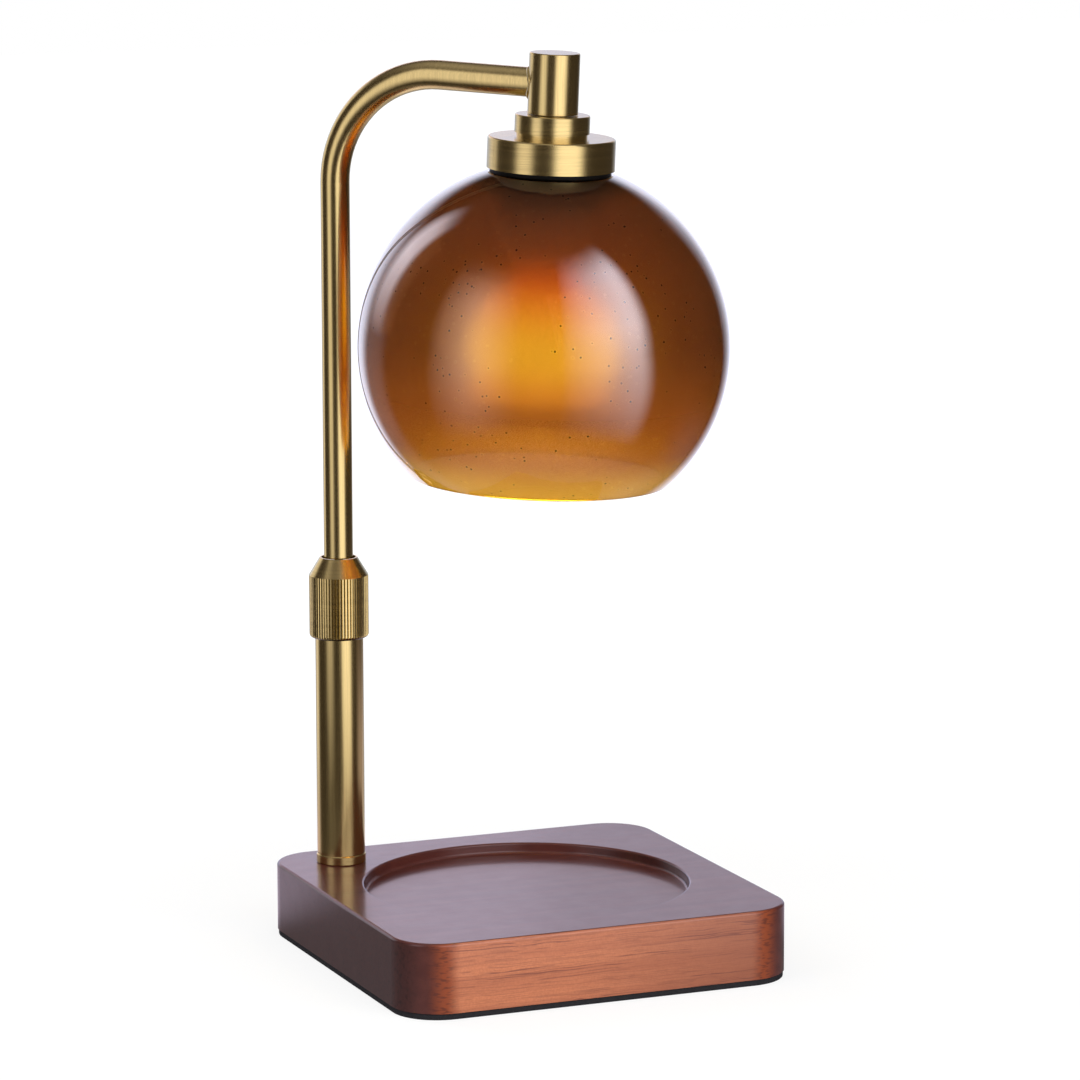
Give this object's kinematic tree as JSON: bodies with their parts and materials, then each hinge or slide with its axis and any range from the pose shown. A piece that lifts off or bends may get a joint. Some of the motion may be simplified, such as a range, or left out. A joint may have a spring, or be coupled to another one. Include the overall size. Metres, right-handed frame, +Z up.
{
  "type": "candle warmer lamp",
  "caption": "Candle warmer lamp: square wood base with a round candle recess, sliding and swivelling brass arm locked by a knurled collar, smoked glass globe over a reflector bulb.",
  "frame": {"origin": "centre of the underside of the base", "axes": "+Z up, +X along the front of the base to the right, +Y to the back; the post stands near the back left corner and the arm points to the front right"},
  "size_m": [0.15, 0.15, 0.33],
  "materials": {
    "stained_wood": "red-brown stain under satin lacquer",
    "foam_pad": "closed-cell foam",
    "black_rubber": "smooth",
    "satin_brass": "brushed satin",
    "plain_brass": "machined",
    "zinc_steel": "zinc plated",
    "nylon": "natural nylon",
    "amber_glass": "smoked amber, satin",
    "black_plastic": "moulded",
    "ceramic": "white glazed ceramic",
    "lead_cover": "glass-fibre sleeve",
    "bulb_glass": "clear reflector glass"
  },
  "bodies": {
    "base": {"wood_base": "stained_wood", "base_pad": "foam_pad", "cord_grommet": "black_rubber", "foot_ring": "satin_brass", "post_nipple": "plain_brass", "nipple_washer": "zinc_steel", "lock_washer": "zinc_steel", "nipple_nut": "plain_brass", "lower_tube": "satin_brass", "post_plug": "plain_brass", "collet_body": "plain_brass", "collet": "nylon"},
    "thrust_ring": {"thrust_ring": "plain_brass"},
    "collar": {"collar": "satin_brass"},
    "height_bush": {"guide_bush": "nylon"},
    "arm": {"bush_rings": "zinc_steel", "arm_tube": "satin_brass", "head_tube": "satin_brass", "braze_joint": "satin_brass", "head_plug": "plain_brass", "head_nipple": "plain_brass", "step_ring": "satin_brass", "shade_cup": "satin_brass", "head_washer": "zinc_steel", "head_nut": "plain_brass", "glass_shade": "amber_glass", "shade_gasket": "black_rubber", "shade_ring": "black_plastic", "holder_sleeve": "black_plastic", "lampholder_cap": "ceramic", "lampholder_body": "ceramic", "holder_contacts": "plain_brass", "holder_screws": "zinc_steel", "lead_wires": "lead_cover", "lead_splices": "zinc_steel"},
    "bulb": {"bulb_base": "ceramic", "bulb_reflector": "bulb_glass", "bulb_lens": "bulb_glass", "bulb_capsule": "bulb_glass", "bulb_pins": "zinc_steel"}
  },
  "joints": [
    {"name": "height_slide", "type": "slide", "parent": "base", "child": "height_bush", "axis": [0, 0, 1], "range_m": [-0.034, 0.01]},
    {"name": "arm_swing", "type": "hinge", "parent": "height_bush", "child": "arm", "pos_m": [-0.05165, 0.05515, 0.085], "axis": [0, 0, 1], "range_deg": [-90, 90]},
    {"name": "collar_rise", "type": "slide", "parent": "base", "child": "thrust_ring", "axis": [0, 0, 1], "range_m": [0, 0.001]},
    {"name": "collar_turn", "type": "hinge", "parent": "thrust_ring", "child": "collar", "pos_m": [-0.05165, 0.05515, 0.124], "axis": [0, 0, 1], "range_deg": [0, 360]},
    {"name": "bulb_twist", "type": "hinge", "parent": "arm", "child": "bulb", "pos_m": [0.00715, -0.00365, 0.25591], "axis": [-0.0305, 0.0305, -0.9991], "range_deg": [0, 30]}
  ],
  "couplings": [
    {"joint": "collar_rise", "follows": "collar_turn", "m_per_rad": 0.000159}
  ]
}
